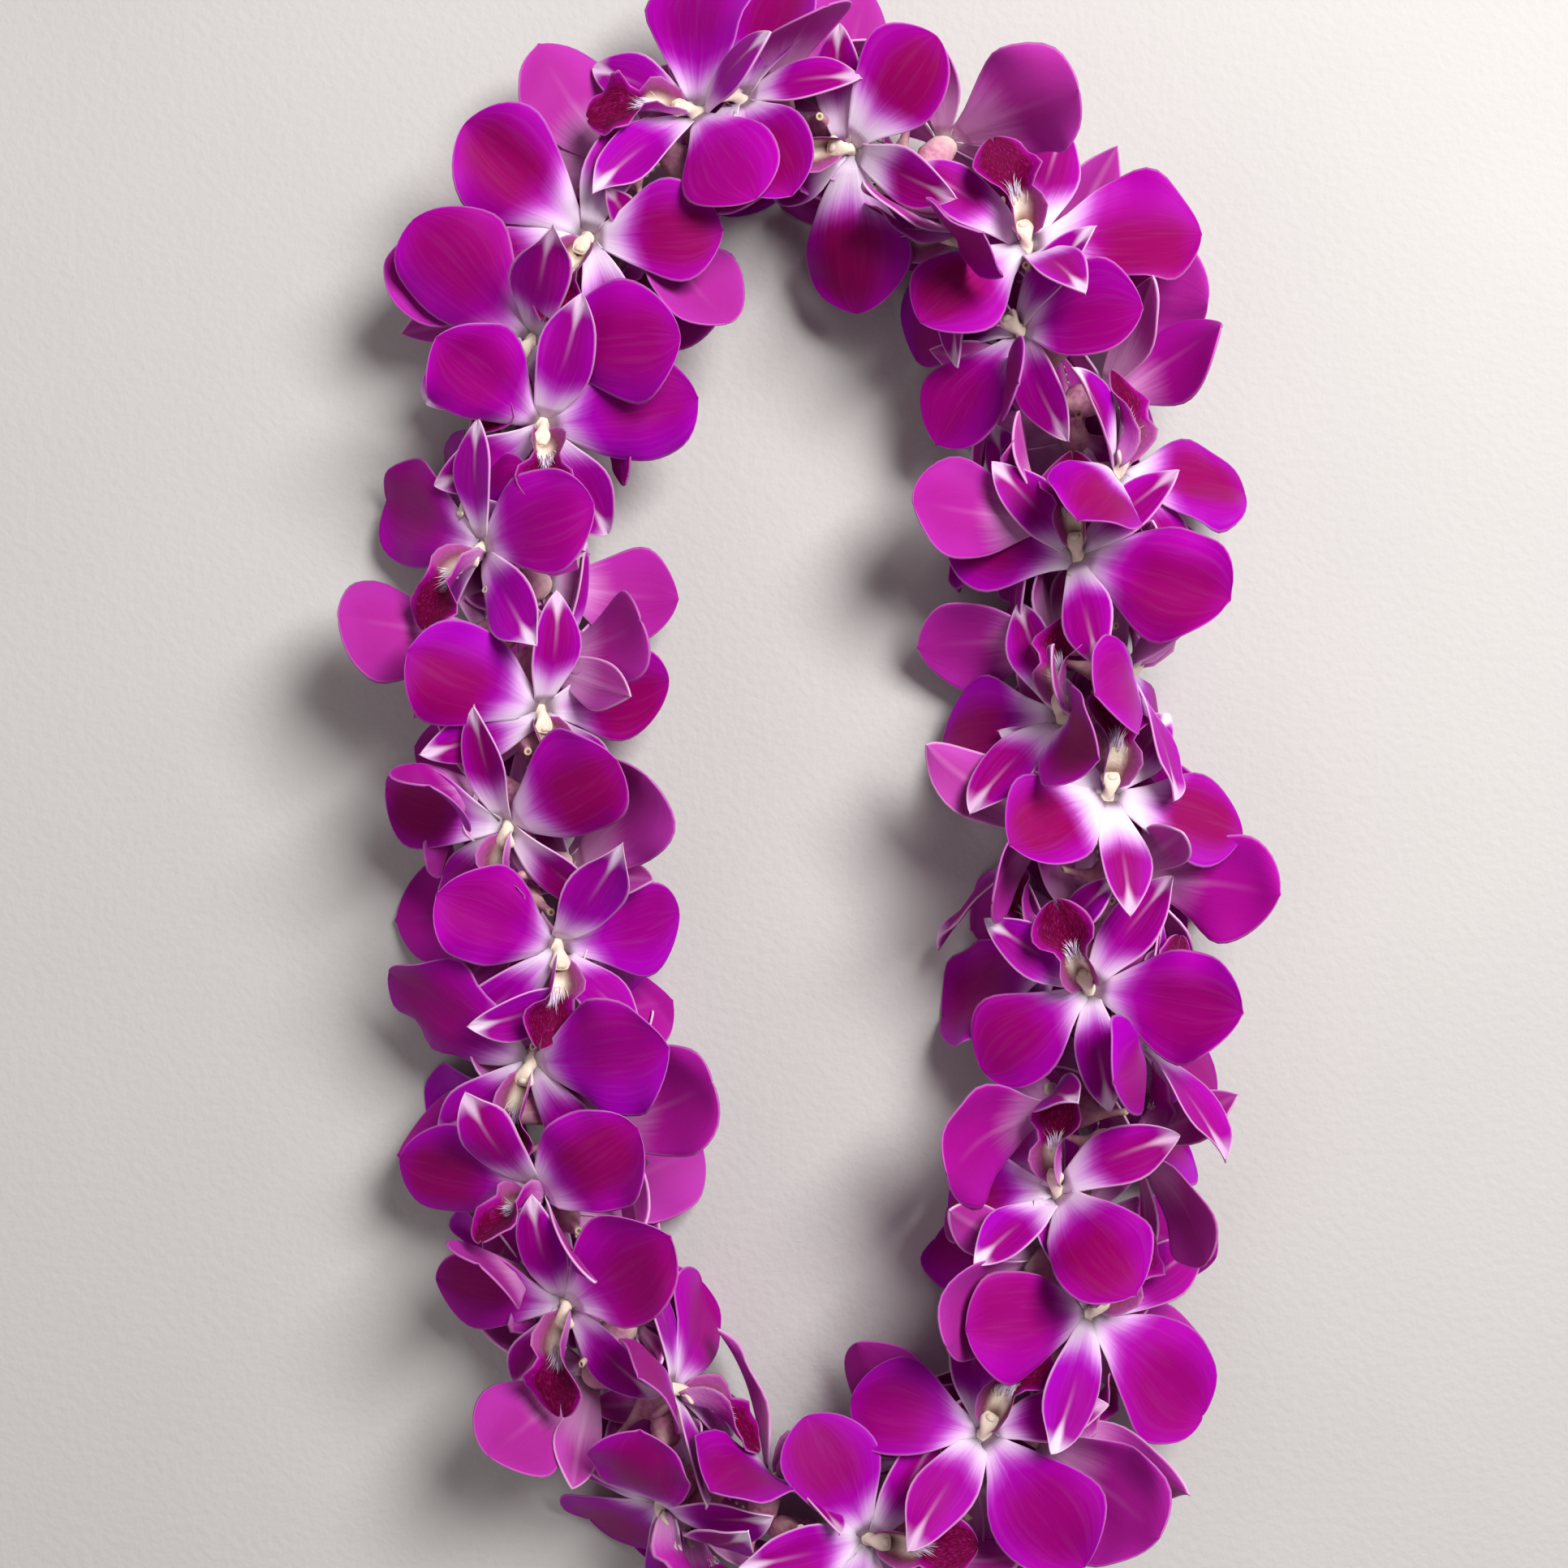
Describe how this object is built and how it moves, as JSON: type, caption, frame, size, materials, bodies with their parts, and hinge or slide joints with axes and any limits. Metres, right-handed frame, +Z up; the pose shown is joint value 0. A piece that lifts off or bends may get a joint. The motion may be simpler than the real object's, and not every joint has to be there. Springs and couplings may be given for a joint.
{
  "type": "fresh flower lei",
  "caption": "Fresh orchid lei laid down as a long oval loop: magenta and white dendrobium blooms strung close on a knotted cotton thread, worn round the neck.",
  "frame": {"origin": "middle of the lei's footprint, on the surface that it lies on", "axes": "+Z up from the surface; +Y along the loop's long way, away from the thread's knot"},
  "size_m": [0.2354, 0.4556, 0.0693],
  "materials": {
    "petals": "fresh orchid tissue: satin, slightly waxy and translucent, magenta to wine with a white base, thin pale margins and faint veins",
    "thread": "twisted natural cotton thread, matt"
  },
  "bodies": {
    "root": {"blooms_01": "petals", "blooms_02": "petals", "blooms_03": "petals", "blooms_04": "petals", "blooms_05": "petals", "blooms_06": "petals", "blooms_07": "petals", "blooms_08": "petals", "blooms_09": "petals", "blooms_10": "petals", "blooms_11": "petals", "blooms_12": "petals", "blooms_13": "petals", "blooms_14": "petals", "blooms_15": "petals", "blooms_16": "petals", "blooms_17": "petals", "blooms_18": "petals", "blooms_19": "petals", "blooms_20": "petals", "blooms_21": "petals", "blooms_22": "petals", "blooms_23": "petals", "blooms_24": "petals", "blooms_25": "petals", "blooms_26": "petals", "blooms_27": "petals", "blooms_28": "petals", "blooms_29": "petals", "blooms_30": "petals", "blooms_31": "petals", "blooms_32": "petals", "blooms_33": "petals", "blooms_34": "petals", "blooms_35": "petals", "blooms_36": "petals", "blooms_37": "petals", "blooms_38": "petals", "blooms_39": "petals", "blooms_40": "petals", "blooms_41": "petals", "blooms_42": "petals", "thread": "thread"}
  },
  "joints": []
}
